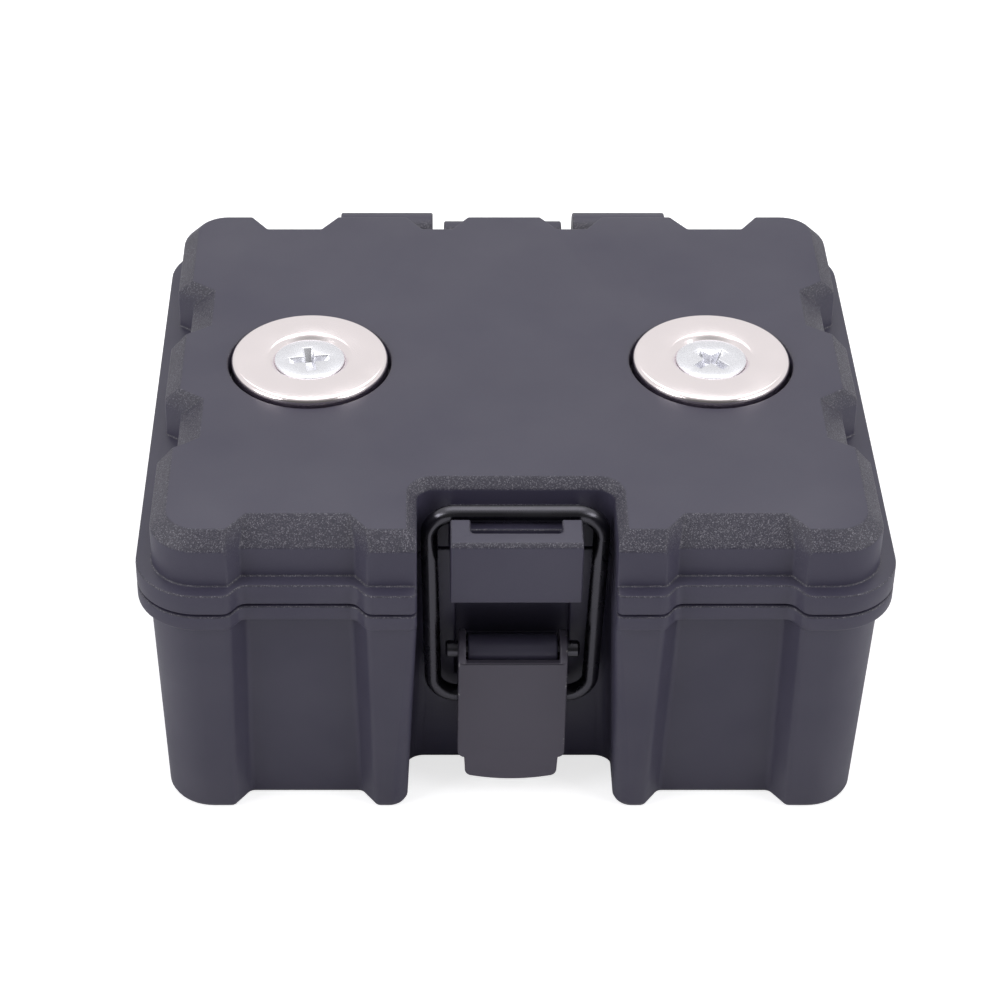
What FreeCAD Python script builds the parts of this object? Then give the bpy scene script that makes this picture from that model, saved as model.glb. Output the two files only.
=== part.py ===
# Magnetic key holder box: a moulded box with a hinged lid, two screwed ring magnets
# in the lid and an over-centre wire latch at the front. Millimetres, +Z up.
# The origin is the middle of the overall footprint, on the ground; the latch faces -Y.
import FreeCAD, Part

import math
import os
import re
import Sketcher

V = FreeCAD.Vector

# Driving sizes
SIZES = {
    # shell: the rim is the flange on both sides of the seam
    "rim_width": 87.0,
    "rim_depth": 75.0,
    "rim_corner": 7.5,
    "base_height": 33.95,
    "seam_gap": 0.3,
    "lid_height": 9.45,
    "lid_rim_height": 2.7,
    "base_rim_height": 1.9,
    "rim_underside_slope": 1.3,
    "lid_ledge": 1.85,
    "base_ledge": 1.9,
    "base_side_ledge": 1.4,
    "lid_bevel": 1.9,
    "lid_wall": 2.0,
    "lid_roof": 2.4,
    "base_wall": 2.2,
    "base_floor": 2.2,
    "draft_sides": 0.55,
    "draft_front": 3.3,
    "bottom_round": 0.9,
    # notches round the lid and panels in the front
    "notch_slope": 0.7,
    "notch_depth": 2.0,
    "notch_bevel": 2.9,
    "notch_flare": 1.3,
    "rim_soft": 1.5,
    "panel_soft": 1.0,
    "panel_depth": 2.7,
    "panel_flare": 0.65,
    "recess_lobe": 5.6,
    "corner_lobe": 10.8,
    "side_notch_pitch": 24.0,
    "side_notch_mouth": 12.1,
    "back_notch_side_inset": 16.2,
    "back_notch_outer_mouth": 11.2,
    "back_notch_inner": 8.75,
    "back_notch_inner_mouth": 8.1,
    # latch recess in the front
    "recess_width": 22.6,
    "recess_depth": 12.7,
    "recess_corner": 2.0,
    "recess_mouth_corner": 0.8,
    "recess_mouth_flare": 1.4,
    "recess_bevel": 1.15,
    "recess_draft": 1.6,
    "recess_side_draft": 1.2,
    "recess_wall": 4.0,
    # rubber ring in the seam
    "seal_inset": 1.75,
    "seal_width": 1.3,
    "seal_groove": 1.1,
    "seal_side_play": 0.1,
    # hinge
    "axis_behind_rim": 1.5,
    "axis_above_seam": 2.85,
    "ear_radius": 3.5,
    "ear_inner": 9.3,
    "ear_outer": 21.5,
    "ear_foot": 8.0,
    "ear_neck": 2.0,
    "ear_play": 0.35,
    "ear_end_play": 0.3,
    "knuckle_radius": 2.4,
    "knuckle_width": 15.6,
    "hinge_pin_diameter": 2.0,
    "hinge_pin_proud": -0.1,
    "pin_play": 0.1,
    "pin_chamfer": 0.25,
    # magnets and their screws
    "magnet_side_inset": 19.15,
    "magnet_behind_front": 37.35,
    "magnet_diameter": 19.0,
    "magnet_thickness": 3.5,
    "magnet_proud": 0.8,
    "magnet_edge": 0.5,
    "magnet_hole": 4.6,
    "magnet_sink_mouth": 9.9,
    "pocket_play": 0.4,
    "pocket_floor": 2.0,
    "boss_wall": 1.6,
    "screw_diameter": 4.0,
    "screw_head": 8.5,
    "screw_length": 9.8,
    "screw_rim": 0.3,
    "cross_span": 5.0,
    "cross_width": 1.15,
    "cross_foot_span": 2.6,
    "cross_foot_width": 0.8,
    "cross_depth": 1.5,
    "cross_turn_left": 8.0,
    "cross_turn_right": 42.0,
    "screw_hole": 4.4,
    "washer_diameter": 9.0,
    "washer_thickness": 0.8,
    "nut_flats": 7.0,
    "nut_height": 3.2,
    "ring_wire": 1.2,
    "ring_diameter": 6.4,
    # latch lever
    "lever_sheet": 0.9,
    "lever_face_inset": 7.35,
    "lever_top": 21.0,
    "lever_bend": 7.6,
    "lever_tip": 3.35,
    "lever_flare": 0.5,
    "tab_step": 0.9,
    "tab_bow": 0.5,
    "shoulder_height": 6.4,
    "shoulder_round": 0.9,
    "bend_round": 4.0,
    "pivot_inset": 10.35,
    "pivot_height": 20.9,
    "cheek_round": 2.3,
    "foot_round": 1.7,
    "lever_pin_diameter": 2.0,
    "lever_side_play": 0.25,
    "barrel_radius": 1.8,
    "barrel_neck_top": 0.9,
    "barrel_neck_height": 2.0,
    "lever_pin_proud": 1.5,
    "slot_side_play": 0.35,
    "slot_depth": 2.0,
    "slot_above_pivot": 8.6,
    "slot_below_pivot": 6.4,
    # wire bail and the catch block that it hooks behind
    "wire": 2.0,
    "bail_foot_inset": 11.15,
    "bail_foot_height": 13.4,
    "bail_top_inset": 9.5,
    "bail_below_top": 2.2,
    "bail_side_play": 0.3,
    "bail_taper": 0.65,
    "bail_pin_play": 0.4,
    "bail_corner": 3.0,
    "bail_end_gap": 0.4,
    "catch_side_play": 1.5,
    "catch_inset": 3.1,
    "catch_bevel": 0.45,
    "catch_below_top": 1.8,
    "catch_below_seam": 0.75,
    "catch_play": 0.1,
    "catch_lip_play": 0.5,
    "catch_bar": 2.3,
    "prong_width": 2.3,
    "prong_pocket_corner": 0.5,
    "prong_pocket_depth": 4.9,
    "catch_back_play": 0.7,
}

# Places and derived sizes, as formulas of the sizes above
PLACES = {
    "front": "-(rim_depth + axis_behind_rim + ear_radius) / 2",
    "back": "front + rim_depth",
    "middle": "front + rim_depth / 2",
    "half": "rim_width / 2",
    "lid_bottom": "base_height + seam_gap",
    "lid_top": "lid_bottom + lid_height",
    "rim_top": "lid_bottom + lid_rim_height",
    "axis_y": "back + axis_behind_rim",
    "axis_z": "lid_bottom + axis_above_seam",
    "hinge_pin_half": "ear_outer + hinge_pin_proud",
    "recess_back": "front + recess_depth",
    "wall_top": "base_height - base_rim_height - rim_underside_slope",
    "panel_mouth": "half - corner_lobe - recess_width / 2 - recess_lobe",
    "panel_centre": "recess_width / 2 + recess_lobe + panel_mouth / 2",
    "back_notch_outer": "half - back_notch_side_inset",
    "magnet_x": "half - magnet_side_inset",
    "magnet_y": "front + magnet_behind_front",
    "magnet_bottom": "lid_top + magnet_proud - magnet_thickness",
    "boss_bottom": "magnet_bottom - pocket_floor",
    "pocket_radius": "magnet_diameter / 2 + pocket_play",
    "sink_depth": "(magnet_sink_mouth - screw_head) / 2 - screw_rim",
    "screw_top": "lid_top + magnet_proud - sink_depth",
    "washer_bottom": "boss_bottom - washer_thickness",
    "nut_bottom": "washer_bottom - nut_height",
    "lever_face": "front + lever_face_inset",
    "pivot_y": "front + pivot_inset",
    "bail_foot_y": "front + bail_foot_inset",
    "bail_top_y": "front + bail_top_inset",
    "bail_top_z": "lid_top - bail_below_top",
    "bail_top_width": "recess_width - wire - 2 * bail_side_play",
    "bail_foot_width": "bail_top_width - 2 * bail_taper",
    "lever_beside": "lever_pin_proud + bail_pin_play",
    "lever_width": "bail_foot_width - wire - 2 * lever_beside",
    "tab_width": "lever_width - 2 * tab_step",
    "catch_width": "bail_top_width - wire - 2 * catch_side_play",
    "cheek_inner": "lever_width / 2 - lever_sheet",
    "barrel_half": "cheek_inner - lever_side_play",
    "lever_pin_half": "lever_width / 2 + lever_pin_proud",
    "slot_half": "lever_width / 2 + slot_side_play",
    "catch_top": "lid_top - catch_below_top",
    "catch_front": "front + catch_inset",
    "catch_lip": "bail_top_y - wire / 2 - catch_lip_play",
    "catch_seat": "bail_top_z - wire / 2 - catch_play",
}

doc = FreeCAD.newDocument("key_holder_box")
sheet = doc.addObject("Spreadsheet::Sheet", "Sizes")
for row, (alias, size) in enumerate(SIZES.items(), start=1):
    sheet.set("A%d" % row, alias)
    sheet.set("B%d" % row, str(size))
    sheet.setAlias("B%d" % row, alias)
doc.recompute()
reader = doc.addObject("App::FeaturePython", "Reader")


def expand(formula):
    """Write a formula of sizes and places as an expression of the sheet's cells."""
    def swap(match):
        word = match.group(0)
        if word in PLACES:
            return "(" + expand(PLACES[word]) + ")"
        return "Sizes." + word if word in SIZES else word
    return re.sub(r"[a-z][a-z_]*", swap, formula)


def value(formula):
    """The number that a formula gives now."""
    return float(reader.evalExpression(expand(formula)))


def bind(thing, **formulas):
    """Bind properties of a document object to formulas."""
    for name, formula in formulas.items():
        thing.setExpression(name, expand(formula))
    return thing


def place(thing, x="0", y="0", z="0"):
    """Bind where a document object stands."""
    for axis, formula in (("x", x), ("y", y), ("z", z)):
        thing.setExpression("Placement.Base." + axis, expand(formula))
    return thing


ALONG_X = FreeCAD.Rotation(V(0, 1, 0), 90)


def box(name, x, y, z, length, width, height):
    """A block from its lowest corner and its three sizes."""
    block = bind(doc.addObject("Part::Box", name), Length=length, Width=width, Height=height)
    return place(block, x, y, z)


def rod(name, start, length, y, z, radius):
    """A cylinder along X from x = start."""
    cylinder = bind(doc.addObject("Part::Cylinder", name), Radius=radius, Height=length)
    cylinder.Placement.Rotation = ALONG_X
    return place(cylinder, start, y, z)


def post(name, x, y, z, radius, height):
    """An upright cylinder."""
    return place(bind(doc.addObject("Part::Cylinder", name), Radius=radius, Height=height), x, y, z)


def join(name, shapes):
    """One object out of several."""
    fuse = doc.addObject("Part::MultiFuse", name)
    fuse.Shapes = shapes
    return fuse


def cut(name, base, tools):
    """Take one or several objects away from another."""
    difference = doc.addObject("Part::Cut", name)
    difference.Base = base
    difference.Tool = tools[0] if len(tools) == 1 else join(name + "_tools", tools)
    return difference


def solid(name, shape):
    """A document object for a shape that is worked out from the sheet's values."""
    thing = doc.addObject("Part::Feature", name)
    thing.Shape = shape
    return thing


def rounded_wire(corners, level=0.0):
    """A closed wire through corners (x, y, radius), each rounded by its radius."""
    ends = []
    for index, (x, y, radius) in enumerate(corners):
        here = V(x, y, level)
        before = V(*corners[index - 1][:2], level) - here
        after = V(*corners[(index + 1) % len(corners)][:2], level) - here
        before.normalize()
        after.normalize()
        if radius < 0.01:
            ends.append((here, None, here))
            continue
        half_turn = (math.pi - before.getAngle(after)) / 2
        reach = radius * math.tan(half_turn)
        middle = (before + after).normalize() * (radius / math.cos(half_turn) - radius)
        ends.append((here + before * reach, here + middle, here + after * reach))
    edges = []
    for index, (start, middle, end) in enumerate(ends):
        if middle is not None:
            edges.append(Part.Arc(start, middle, end).toShape())
        following = ends[(index + 1) % len(ends)][0]
        if (following - end).Length > 1e-6:
            edges.append(Part.LineSegment(end, following).toShape())
    return Part.Wire(edges)


def both_sides(corners):
    """Add the mirror image of corners that run anticlockwise on the +X side."""
    return corners + [(-x, y, radius) for x, y, radius in reversed(corners)]


def slab(wire, height):
    """A solid of one outline, straight up."""
    return Part.Face(wire).extrude(V(0, 0, height))


# Outlines drawn as (x, y) stand up as (y, z) or as (x, z)
TO_YZ = FreeCAD.Rotation(V(0, 1, 0), V(0, 0, 1), V(1, 0, 0))
TO_XZ = FreeCAD.Rotation(V(1, 0, 0), V(0, 0, 1), V(0, -1, 0))


def profile_yz(name, corners, start, length):
    """A solid of a (y, z) outline with corner radii, along X from x = start."""
    wire = rounded_wire(corners)
    wire.Placement = FreeCAD.Placement(V(start, 0, 0), TO_YZ)
    return solid(name, Part.Face(wire).extrude(V(length, 0, 0)))


# Outlines of the shells seen from above
NOTCH_SPREAD = math.tan(math.atan(1 / value("notch_slope")) / 2)
front, back, half = value("front"), value("back"), value("half")
recess_back = value("recess_back")


def panel_corners(face, depth, inset, soft, flare=0.0):
    """The four corners of a front panel, set back by depth in a face that is moved inwards."""
    centre = value("panel_centre")
    mouth = value("panel_mouth") / 2 + NOTCH_SPREAD * inset + flare
    foot = mouth - value("notch_slope") * depth
    outer, inner = max(soft - inset, 0.1), soft + inset / 2
    return [(centre - mouth, face, outer), (centre - foot, face + depth, inner),
            (centre + foot, face + depth, inner), (centre + mouth, face, outer)]


def shell_outline(level, side, face, depth, soft, inset=0.0, share=0.0):
    """The outside of a shell: side and face are how far its walls stand in from the rim.
    Towards the ground, where share is 1, the recess and the panels have their full draft."""
    recess = value("recess_width") / 2 + share * value("recess_side_draft") + inset
    recess_face = recess_back + share * value("recess_draft") + inset
    mouth_corner = value("recess_mouth_corner") + share * value("recess_mouth_flare")
    corner = value("rim_corner") - min(side, face) - inset
    side, face = side + inset, face + inset
    return rounded_wire(both_sides([
        (recess, recess_face, value("recess_corner") + inset),
        (recess, front + face, max(mouth_corner - inset, 0.1)),
        *panel_corners(front + face, depth, inset, soft, share * value("panel_flare")),
        (half - side, front + face, corner),
        (half - side, back - face, corner),
    ]), level)


def rim_outline(level, inset=0.0):
    """The outside of the flange at the seam, or a line that runs inside it."""
    return shell_outline(level, 0.0, 0.0, value("notch_depth"), value("rim_soft"), inset)


def base_wall_at(level, inset=0.0):
    """The drafted outside of the base at a height above the ground."""
    share = 1 - level / value("wall_top")
    return shell_outline(level, value("base_side_ledge") + share * value("draft_sides"),
                         value("base_ledge") + share * value("draft_front"), value("panel_depth"),
                         value("panel_soft"), inset, share)


def base_cavity_at(level, height):
    """The inside of the base: it follows the panels and leaves a thick wall round the recess."""
    share = max(1 - level / value("wall_top"), 0.0)
    wall = value("base_wall")
    side = value("base_side_ledge") + share * value("draft_sides") + wall
    face = value("base_ledge") + share * value("draft_front") + wall
    thick = value("recess_width") / 2 + value("recess_wall")
    corner = value("rim_corner") - value("base_ledge") - wall
    panel = panel_corners(front + face, value("panel_depth"), wall, 0.0)
    return rounded_wire(both_sides([
        (thick, recess_back + value("recess_wall"), value("recess_corner")),
        (thick, panel[1][1], 0.0),
        *panel[2:],
        (half - side, front + face, corner),
        (half - side, back - face, corner),
    ]), height)


def rectangle(level, side, corner):
    """A plain rounded rectangle that stands in from the rim."""
    right, near, far = half - side, front + side, back - side
    return rounded_wire([(right, near, corner), (right, far, corner),
                         (-right, far, corner), (-right, near, corner)], level)


# Base shell: drafted walls, a flanged rim and the key compartment
rounding = value("bottom_round")
sections = [base_wall_at(rounding * (1 - math.cos(turn)), rounding * (1 - math.sin(turn)))
            for turn in (0.0, math.pi / 8, math.pi / 4, math.pi / 2)]
sections += [base_wall_at(value("wall_top")), rim_outline(value("base_height - base_rim_height")),
             rim_outline(value("base_height"))]
base_block = solid("base_block", Part.makeLoft(sections, True, True))
floor, seam = value("base_floor"), value("base_height")
base_cavity = solid("base_cavity", Part.makeLoft([
    base_cavity_at(floor, floor), base_cavity_at(seam, seam)], True, True))


def hinge_ear(name, start):
    """One of the base's two hinge ears, with its foot on the back wall."""
    width = "ear_outer - ear_inner"
    barrel = rod(name + "_barrel", start, width, "axis_y", "axis_z", "ear_radius")
    inside = value("back - base_ledge - base_wall / 2")
    foot = profile_yz(name + "_foot", [
        (value("axis_y - ear_neck"), value("axis_z"), 0.0),
        (value("axis_y - ear_neck"), seam, 0.0),
        (inside, seam, 0.0),
        (inside, seam - value("ear_foot"), 0.0),
        (value("axis_y + ear_radius"), value("base_height - base_rim_height"), 1.0),
        (value("axis_y + ear_radius"), value("axis_z"), 0.0),
    ], value(start), value(width))
    return [barrel, foot]


# The recess wall has a slot behind the lever, and a barrel stands in it to carry the lever's pin
base_slotted = cut("base_slotted", base_block, [
    box("lever_slot", "-slot_half", "pivot_y", "pivot_height - slot_below_pivot", "2 * slot_half",
        "recess_back + slot_depth - pivot_y", "slot_below_pivot + slot_above_pivot")])
pivot_barrel = [
    rod("barrel", "-barrel_half", "2 * barrel_half", "pivot_y", "pivot_height", "barrel_radius"),
    box("barrel_neck", "-barrel_half", "pivot_y", "pivot_height - barrel_neck_top - barrel_neck_height",
        "2 * barrel_half", "recess_back + slot_depth + recess_wall / 8 - pivot_y", "barrel_neck_height"),
]
ears = hinge_ear("ear_right", "ear_inner") + hinge_ear("ear_left", "-ear_outer")
base_shell = cut("base_shell", join("base_solid", [base_slotted] + ears + pivot_barrel), [
    base_cavity,
    rod("ear_bore", "-ear_outer", "2 * ear_outer", "axis_y", "axis_z", "hinge_pin_diameter / 2"),
    rod("barrel_bore", "-barrel_half", "2 * barrel_half", "pivot_y", "pivot_height",
        "lever_pin_diameter / 2"),
])

# Lid shell: a bevelled block on its flange, notched all round
lid_bottom, rim_top, lid_top = value("lid_bottom"), value("rim_top"), value("lid_top")
lid_rim = solid("lid_rim", slab(rim_outline(lid_bottom), value("lid_rim_height")))
bevel_foot = lid_top - value("lid_bevel")
lid_corner = value("rim_corner - lid_ledge")
wall_foot = rectangle(rim_top, value("lid_ledge"), lid_corner)
wall_head = rectangle(bevel_foot, value("lid_ledge"), lid_corner)
top_edge = rectangle(lid_top, value("lid_ledge + lid_bevel"), lid_corner - value("lid_bevel"))
lid_block = solid("lid_block", Part.makeLoft([wall_foot, wall_head, top_edge], True, True))


def notch_section(level, mouth, depth, flare=0.0):
    """A notch seen from above, open towards -Y, with its mouth on the X axis."""
    outside = value("lid_ledge + lid_bevel")
    slope = value("notch_slope")
    wide, narrow = mouth / 2 + flare + slope * outside, mouth / 2 + flare - slope * depth
    return rounded_wire([(-wide, -outside, 0), (wide, -outside, 0),
                         (narrow, depth, 0), (-narrow, depth, 0)], level)


def notch_cutter(mouth):
    """The empty space of a notch above the flange, flared by its bevel at the top."""
    depth, bevel = value("notch_depth"), value("notch_bevel")
    foot, head = notch_section(rim_top, mouth, depth), notch_section(lid_top - bevel, mouth, depth)
    top = notch_section(lid_top, mouth, depth + bevel, value("notch_flare"))
    return Part.makeLoft([foot, head, top], True, True)


def notch_bump(mouth):
    """The lid wall round a notch, seen from inside the lid."""
    wall = value("lid_wall")
    section = notch_section(lid_bottom, mouth + 2 * NOTCH_SPREAD * wall, value("notch_depth") + wall)
    return slab(section, value("lid_height"))


def notch_places():
    """Where each notch stands: its mouth, the middle of its mouth and its turn about Z."""
    ledge = value("lid_ledge")
    middle, pitch = value("middle"), value("side_notch_pitch") / 2
    places = []
    for side in (-1, 1):
        places.append((value("panel_mouth"), side * value("panel_centre"), front + ledge, 0))
        for along in (middle - pitch, middle + pitch):
            places.append((value("side_notch_mouth"), side * (half - ledge), along, side * 90))
        for kind in ("back_notch_outer", "back_notch_inner"):
            places.append((value(kind + "_mouth"), side * value(kind), back - ledge, 180))
    return places


def at_each_notch(make):
    """Copies of a notch solid in all its places, as one shape."""
    copies = []
    for mouth, x, y, turn in notch_places():
        copy = make(mouth)
        copy.Placement = FreeCAD.Placement(V(x, y, 0), FreeCAD.Rotation(V(0, 0, 1), turn))
        copies.append(copy)
    return Part.makeCompound(copies)


def recess_section(level, grow):
    """The latch recess seen from above, wider and deeper by grow."""
    wide, corner = value("recess_width") / 2 + grow, value("recess_corner") + grow
    near, far = front - value("lid_ledge"), recess_back + grow
    return rounded_wire([(-wide, near, 0), (wide, near, 0), (wide, far, corner), (-wide, far, corner)],
                        level)


recess_cutter = solid("lid_recess", Part.makeLoft([
    recess_section(rim_top, 0.0), recess_section(lid_top - value("recess_bevel"), 0.0),
    recess_section(lid_top, value("recess_bevel"))], True, True))
lid_notches = solid("lid_notches", at_each_notch(notch_cutter))

cavity_side = value("lid_ledge + lid_wall")
cavity_height = value("lid_height - lid_roof")
lid_room = slab(rectangle(lid_bottom, cavity_side, lid_corner - value("lid_wall")), cavity_height)
recess_bump = slab(recess_section(lid_bottom, value("recess_wall")), value("lid_height"))
lid_cavity = cut("lid_cavity", solid("lid_room", lid_room), [
    solid("lid_bumps", at_each_notch(notch_bump)), solid("recess_bump", recess_bump)])


def ring(level, height, play):
    """The path of the rubber ring inside the flange, wider by play on each side."""
    outer = slab(rim_outline(level, value("seal_inset") - play), height)
    inner = slab(rim_outline(level, value("seal_inset + seal_width") + play), height)
    return outer.cut(inner)


def catch_block():
    """The block that the bail hooks behind: front bar, two prongs and the seat of the wire."""
    top, bevel = value("catch_top"), value("catch_bevel")
    near, lip, seat = value("catch_front"), value("catch_lip"), value("catch_seat")
    foot = value("lid_bottom - catch_below_seam")
    rear = recess_back - value("catch_back_play")
    inside = recess_back + value("recess_wall") / 4
    return profile_yz("catch_profile", [
        (near, foot, 0.3), (rear, foot, 0.0), (rear, lid_bottom, 0.0), (inside, lid_bottom, 0.0),
        (inside, seat, 0.0), (lip, seat, 0.0), (lip, top, 0.3), (near + bevel, top, 0.0),
        (near, top - bevel, 0.0),
    ], -value("catch_width") / 2, value("catch_width"))


def prong_pocket():
    """The pocket between the prongs, open at the top and towards the seat of the wire."""
    wide, corner = value("catch_width / 2 - prong_width"), value("prong_pocket_corner")
    near, far = value("catch_front + catch_bar"), value("catch_lip")
    return slab(rounded_wire([(-wide, near, corner), (wide, near, corner), (wide, far, 0), (-wide, far, 0)],
                             value("catch_top - prong_pocket_depth")),
                value("prong_pocket_depth + catch_play"))


sides = (("left", "-magnet_x"), ("right", "magnet_x"))
lid_solid = join("lid_solid", [
    cut("lid_hollow", join("lid_outer", [
        lid_rim, cut("lid_notched", lid_block, [lid_notches, recess_cutter])]), [lid_cavity]),
    rod("knuckle", "-knuckle_width / 2", "knuckle_width", "axis_y", "axis_z", "knuckle_radius"),
    box("knuckle_arm", "-knuckle_width / 2", "back - lid_ledge", "axis_z - knuckle_radius",
        "knuckle_width", "axis_y - back + lid_ledge", "rim_top - axis_z + knuckle_radius"),
    catch_block(),
] + [post("boss_" + side, x, "magnet_y", "boss_bottom", "pocket_radius + boss_wall",
          "lid_top - lid_roof / 2 - boss_bottom") for side, x in sides])
lid_shell = cut("lid_shell", lid_solid, [
    solid("prong_pocket", prong_pocket()),
    solid("seal_groove", ring(lid_bottom, value("seal_groove"), value("seal_side_play"))),
    rod("knuckle_bore", "-ear_outer", "2 * ear_outer", "axis_y", "axis_z",
        "hinge_pin_diameter / 2 + pin_play"),
    rod("ear_room_right", "ear_inner - ear_end_play", "ear_outer - ear_inner + 2 * ear_end_play",
        "axis_y", "axis_z", "ear_radius + ear_play"),
    rod("ear_room_left", "-ear_outer - ear_end_play", "ear_outer - ear_inner + 2 * ear_end_play",
        "axis_y", "axis_z", "ear_radius + ear_play"),
] + [post("pocket_" + side, x, "magnet_y", "magnet_bottom", "pocket_radius", "magnet_thickness")
     for side, x in sides]
  + [post("hole_" + side, x, "magnet_y", "boss_bottom", "screw_hole / 2", "magnet_thickness + pocket_floor")
     for side, x in sides]
  + [post("ring_seat_" + side, x, "magnet_y", "magnet_bottom - ring_wire",
          "(ring_diameter + ring_wire) / 2", "ring_wire") for side, x in sides])

# Rubber ring in the lid's groove, down to the base's rim
lid_seal = solid("lid_seal", ring(seam, value("seam_gap + seal_groove"), 0.0))


# Turned pieces: bodies made by revolving a section about Z
def section_sketch(body, name, role, corners):
    """A closed sketch whose corners are bound to formulas."""
    sketch = body.newObject("Sketcher::SketchObject", name)
    plane = [feature for feature in body.Origin.OriginFeatures if feature.Role == role][0]
    sketch.AttachmentSupport = (plane, [""])
    sketch.MapMode = "FlatFace"
    points = [V(value(x), value(y), 0) for x, y in corners]
    count = len(points)
    for index in range(count):
        sketch.addGeometry(Part.LineSegment(points[index], points[(index + 1) % count]))
    for index, corner in enumerate(corners):
        sketch.addConstraint(Sketcher.Constraint("Coincident", index, 2, (index + 1) % count, 1))
        for kind, formula in zip(("DistanceX", "DistanceY"), corner):
            datum = Sketcher.Constraint(kind, -1, 1, index, 1, value(formula))
            number = sketch.addConstraint(datum)
            sketch.setExpression("Constraints[%d]" % number, expand(formula))
    return sketch


def turned(name, corners):
    """A body revolved about Z from (radius, height) corners."""
    body = doc.addObject("PartDesign::Body", name)
    sketch = section_sketch(body, name + "_section", "XZ_Plane", corners)
    revolution = body.newObject("PartDesign::Revolution", name + "_turned")
    revolution.Profile = sketch
    revolution.ReferenceAxis = (sketch, ["V_Axis"])
    revolution.Angle = 360
    doc.recompute()
    return body


def round_edges(body, name, radius, wanted):
    """Round the edges of a body that a test picks."""
    before = body.Tip
    names = ["Edge%d" % number for number, edge in enumerate(before.Shape.Edges, start=1) if wanted(edge)]
    fillet = body.newObject("PartDesign::Fillet", name)
    fillet.Base = (before, names)
    bind(fillet, Radius=radius)
    doc.recompute()


def pin(name, start, length, y, z, diameter):
    """A steel pin along X with chamfered ends."""
    radius, inner = diameter + " / 2", diameter + " / 2 - pin_chamfer"
    body = turned(name, [("0", "0"), (inner, "0"), (radius, "pin_chamfer"),
                         (radius, length + " - pin_chamfer"), (inner, length), ("0", length)])
    body.Placement.Rotation = ALONG_X
    place(body, start, y, z)


pin("hinge_pin", "-hinge_pin_half", "2 * hinge_pin_half", "axis_y", "axis_z", "hinge_pin_diameter")
pin("lever_pin", "-lever_pin_half", "2 * lever_pin_half", "pivot_y", "pivot_height",
    "lever_pin_diameter")


def cross_section(level, span, width):
    """The outline of a cross recess, with arms of this width."""
    reach, arm = span / 2, width / 2
    quarter = [(reach, -arm), (reach, arm), (arm, arm)]
    corners = []
    for turn in range(4):
        for x, y in quarter:
            corners.append((x, y, 0.0))
        quarter = [(-y, x) for x, y in quarter]
    return rounded_wire(corners, level)


# Magnet stacks: each magnet is held in its pocket by a screw, washer and nut, over a rubber ring
for side, x in sides:
    magnet = turned("magnet_" + side, [
        ("magnet_hole / 2", "0"), ("magnet_diameter / 2", "0"),
        ("magnet_diameter / 2", "magnet_thickness"), ("magnet_sink_mouth / 2", "magnet_thickness"),
        ("magnet_hole / 2", "magnet_thickness - magnet_sink_mouth / 2 + magnet_hole / 2"),
    ])
    outside = value("magnet_diameter / 2") - 0.01
    round_edges(magnet, "magnet_edge_" + side, "magnet_edge",
                lambda edge: len(edge.Vertexes) == 1 and edge.BoundBox.XMax > outside)
    place(magnet, x, "magnet_y", "magnet_bottom")

    screw = turned("screw_blank_" + side, [
        ("0", "0"), ("screw_diameter / 2", "0"),
        ("screw_diameter / 2", "screw_length - screw_rim - screw_head / 2 + screw_diameter / 2"),
        ("screw_head / 2", "screw_length - screw_rim"), ("screw_head / 2", "screw_length"),
        ("0", "screw_length"),
    ])
    place(screw, x, "magnet_y", "screw_top - screw_length")
    low, high = value("screw_top - cross_depth"), value("screw_top")
    cross = Part.makeLoft([cross_section(low, value("cross_foot_span"), value("cross_foot_width")),
                           cross_section(high, value("cross_span"), value("cross_width"))], True, True)
    cross.Placement = FreeCAD.Placement(V(value(x), value("magnet_y"), 0),
                                        FreeCAD.Rotation(V(0, 0, 1), value("cross_turn_" + side)))
    cut("magnet_screw_" + side, screw, [solid("cross_" + side, cross)])

    seal_ring = bind(doc.addObject("Part::Torus", "screw_seal_" + side),
                     Radius1="ring_diameter / 2", Radius2="ring_wire / 2")
    place(seal_ring, x, "magnet_y", "magnet_bottom - ring_wire / 2")

    washer = turned("magnet_washer_" + side, [
        ("screw_hole / 2", "0"), ("washer_diameter / 2", "0"),
        ("washer_diameter / 2", "washer_thickness"), ("screw_hole / 2", "washer_thickness"),
    ])
    place(washer, x, "magnet_y", "washer_bottom")

    hexagon = bind(doc.addObject("Part::Prism", "nut_hexagon_" + side),
                   Circumradius="nut_flats / 2 / cos(30)", Height="nut_height")
    place(hexagon, x, "magnet_y", "nut_bottom")
    crown = turned("nut_crown_" + side, [
        ("screw_diameter / 2", "0"), ("nut_flats / 2", "0"), ("nut_flats * 0.6", "nut_flats * 0.06"),
        ("nut_flats * 0.6", "nut_height"), ("screw_diameter / 2", "nut_height"),
    ])
    place(crown, x, "magnet_y", "nut_bottom")
    nut = doc.addObject("Part::Common", "magnet_nut_" + side)
    nut.Base, nut.Tool = hexagon, crown


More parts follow.
